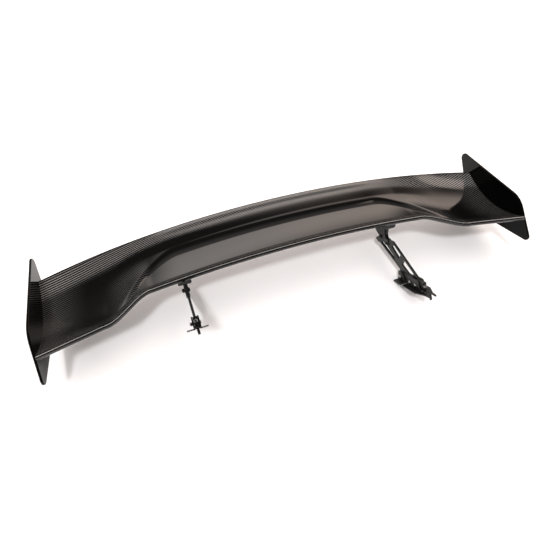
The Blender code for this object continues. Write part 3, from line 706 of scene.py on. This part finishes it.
def lay_cloth(mesh, across, along, turn=0.0):
    """Lay the cloth flat over a piece, seen along the third axis, turned by an angle in degrees."""
    layer = mesh.uv_layers.get("cloth") or mesh.uv_layers.new(name="cloth")
    cosine = math.cos(math.radians(turn))
    sine = math.sin(math.radians(turn))
    for loop in mesh.loops:
        place = mesh.vertices[loop.vertex_index].co
        a = place[across]
        b = place[along]
        layer.data[loop.index].uv = (a * cosine + b * sine, b * cosine - a * sine)


def add_skins():
    stations = span_stations("wing_upper_skin")
    upper = stand_for("wing_upper_skin", skin_mesh("upper_skin", stations, upper_outline))
    lay_cloth(upper.data, 0, 1, CLOTH_TURN)
    stand_for("wing_lower_skin", skin_mesh("lower_skin", stations, lower_outline))


def add_endplate(side_name):
    piece = refined("endplate_" + side_name, PLATE_EDGE)
    lay_cloth(piece.data, 1, 2)


# ---- fittings -------------------------------------------------------------------------------
SCREW_WORDS = ("endplate_screw", "bracket_screw", "pivot_bolt", "lock_bolt", "toe_screw")
SHARP_WORDS = ("pedestal_arm", "wing_bracket", "foot_bracket", "toe_clamp", "foot_bolt", "nut")


def add_fittings():
    """Rebuild the screws, round the metal pieces, and give what is left of the CAD its finish."""
    for node in sorted(SLOT_OF):
        if any(word in node for word in SCREW_WORDS):
            add_screw(node)
        elif any(word in node for word in SHARP_WORDS):
            refined(node, EDGE)
        elif not frame["nodes"][node].hide_render:
            finish = frame["nodes"][node].data.materials
            finish.clear()
            finish.append(MATERIALS[SLOT_OF[node]])


# ---- studio ---------------------------------------------------------------------------------
# Ranges in the world are parts of the unit direction: aside is +X, behind is +Y, height is +Z.
BAND_START = (0.16, 0.44)       # heights between which the lit wall brightens
BAND_STOP = (0.54, 0.79)        # and fades
WALL_EDGE = (-0.35, -0.08)      # where the wall changes from dim to lit, aside
WALL_DIM = 0.02
WALL_LIT = 2.05
WALL_RISE = (0.0, 0.45)         # where it brightens a little more, aside
WALL_GAIN = 1.1
WALL_BEHIND = (0.0, 0.35)       # it stands only behind the wing
WARMTH = (-0.2, 0.7)            # where the light turns warmer, aside
GREEN = (0.94, 0.82)            # against a red of 1, from left to right
BLUE = (0.90, 0.72)
ROOM = 0.05                     # strength of the rest of the room
WINDOW = 2.8
WINDOW_TOWARDS = (0.60, 0.08, 0.80)
WINDOW_EDGE = (0.984, 0.995)    # cosines of the angle from its middle, from dim to lit
BACKDROP = (0.82, 0.81, 0.80, 1)

FLOOR_SIZE = 16
FLOOR_PLACE = (0, 2.5, -0.5 * MM)           # just under the feet
CAMERA_PLACE = (-0.3623, -0.8161, 0.9640)   # from the wing's datum
CAMERA_TURN = (43.114, 1.839, -19.493)      # degrees about X, Y and Z
SENSOR = 36
LENS = 28.563


def add_floor():
    bpy.ops.mesh.primitive_plane_add(size=FLOOR_SIZE, location=FLOOR_PLACE)
    floor = bpy.context.object
    floor.name = "studio_floor"
    floor.data.materials.append(studio_paper())


def ramp(tree, value, start, stop, low, high):
    """A smooth change from low to high while the value goes from start to stop."""
    node = tree.nodes.new("ShaderNodeMapRange")
    node.interpolation_type = "SMOOTHSTEP"
    tree.links.new(value, node.inputs["Value"])
    for socket, number in zip(list(node.inputs)[1:5], (start, stop, low, high)):
        socket.default_value = number
    return node.outputs["Result"]


def combine(tree, operation, *values):
    node = tree.nodes.new("ShaderNodeMath")
    node.operation = operation
    for value, socket in zip(values, node.inputs):
        tree.links.new(value, socket)
    return node.outputs[0]


def wall_strength(tree, aside, behind, height):
    """A bright wall low behind the wing, brighter to the right."""
    band = combine(tree, "MULTIPLY", ramp(tree, height, *BAND_START, 0, 1),
                   ramp(tree, height, *BAND_STOP, 1, 0))
    wall = combine(tree, "MULTIPLY", ramp(tree, aside, *WALL_EDGE, WALL_DIM, WALL_LIT),
                   ramp(tree, aside, *WALL_RISE, 1, WALL_GAIN))
    wall = combine(tree, "MULTIPLY", wall, ramp(tree, behind, *WALL_BEHIND, 0, 1))
    return combine(tree, "MULTIPLY", band, wall)


def window_strength(tree, direction):
    """One window high on the right, over the dim light of the room."""
    towards = tree.nodes.new("ShaderNodeVectorMath")
    towards.operation = "DOT_PRODUCT"
    tree.links.new(direction, towards.inputs[0])
    towards.inputs[1].default_value = Vector(WINDOW_TOWARDS).normalized()
    return ramp(tree, towards.outputs["Value"], *WINDOW_EDGE, ROOM, WINDOW)


def room_colour(tree, aside):
    """Nearly white on the left and warmer to the right."""
    colour = tree.nodes.new("ShaderNodeCombineColor")
    colour.inputs["Red"].default_value = 1.0
    tree.links.new(ramp(tree, aside, *WARMTH, *GREEN), colour.inputs["Green"])
    tree.links.new(ramp(tree, aside, *WARMTH, *BLUE), colour.inputs["Blue"])
    return colour.outputs["Color"]


def add_world():
    """The room that lights the wing. Past the floor's edge the camera sees a plain pale backdrop."""
    world = bpy.data.worlds.new("studio")
    bpy.context.scene.world = world
    world.use_nodes = True
    tree = world.node_tree
    background = tree.nodes["Background"]
    direction = tree.nodes.new("ShaderNodeTexCoord").outputs["Generated"]
    split = tree.nodes.new("ShaderNodeSeparateXYZ")
    tree.links.new(direction, split.inputs[0])
    aside, behind, height = split.outputs
    wall = wall_strength(tree, aside, behind, height)
    strength = combine(tree, "ADD", wall, window_strength(tree, direction))
    tree.links.new(strength, background.inputs["Strength"])
    tree.links.new(room_colour(tree, aside), background.inputs["Color"])

    backdrop = tree.nodes.new("ShaderNodeBackground")
    backdrop.inputs["Color"].default_value = BACKDROP
    seen = tree.nodes.new("ShaderNodeMixShader")
    tree.links.new(tree.nodes.new("ShaderNodeLightPath").outputs["Is Camera Ray"], seen.inputs[0])
    tree.links.new(background.outputs[0], seen.inputs[1])
    tree.links.new(backdrop.outputs[0], seen.inputs[2])
    tree.links.new(seen.outputs[0], tree.nodes["World Output"].inputs["Surface"])


def add_sun(name, towards, strength, spread, colour):
    """A broad, even light that the gloss doesn't mirror."""
    data = bpy.data.lights.new(name, "SUN")
    data.energy = strength
    data.angle = math.radians(spread)
    data.color = colour
    light = bpy.data.objects.new(name, data)
    bpy.context.scene.collection.objects.link(light)
    light.rotation_euler = Vector(towards).to_track_quat("-Z", "Y").to_euler()
    light.visible_glossy = False


def add_studio():
    add_floor()
    add_sun("key", (0.3, 0.7, -1.0), strength=1.5, spread=7, colour=(0.97, 0.99, 1.0))
    add_sun("fill", (0, 0, -1.0), strength=3.4, spread=130, colour=(1.0, 0.95, 0.93))
    add_world()
    settings = bpy.context.scene.view_settings
    settings.view_transform = "Standard"
    settings.look = "None"
    settings.exposure = 0.0


def add_camera():
    """The photograph's camera, standing off from the wing's datum."""
    data = bpy.data.cameras.new("camera")
    data.sensor_width = SENSOR
    data.lens = LENS
    data.clip_start = 0.02
    data.clip_end = 60
    camera = bpy.data.objects.new("camera", data)
    bpy.context.scene.collection.objects.link(camera)
    turn = Euler([math.radians(angle) for angle in CAMERA_TURN])
    camera.matrix_world = Matrix.LocRotScale(DATUM + Vector(CAMERA_PLACE), turn, None)
    bpy.context.scene.camera = camera


add_skins()
for side_name in SIDES:
    add_endplate(side_name)
add_fittings()
add_studio()
add_camera()
